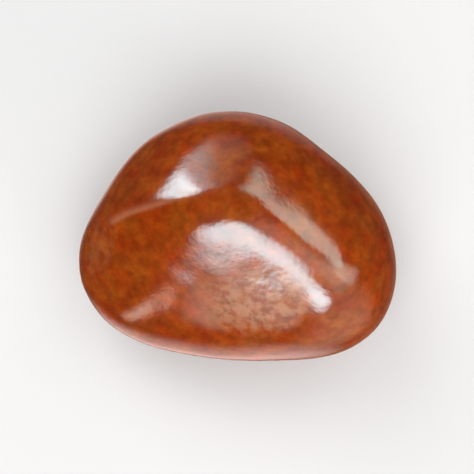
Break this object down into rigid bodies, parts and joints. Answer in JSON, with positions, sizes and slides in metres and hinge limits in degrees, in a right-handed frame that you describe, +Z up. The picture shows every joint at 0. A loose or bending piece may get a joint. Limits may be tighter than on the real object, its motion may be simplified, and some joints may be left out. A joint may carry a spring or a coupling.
{
  "type": "chocolate-covered freeze-dried strawberry",
  "caption": "Freeze-dried strawberry in a thick, glossy milk chocolate coat: a lumpy, rounded, berry-shaped sweet lying on its side on a small flat.",
  "frame": {"origin": "centre of the bounding box's bottom face, on the surface that the piece rests on", "axes": "+X from the berry's tip towards its calyx end, +Z up with the piece lying on its side"},
  "size_m": [0.038, 0.0296, 0.024],
  "materials": {
    "milk_chocolate": "milk chocolate polished with a clear edible glaze, high gloss with a fine orange-peel texture"
  },
  "bodies": {
    "root": {"coated_strawberry": "milk_chocolate"}
  },
  "joints": []
}
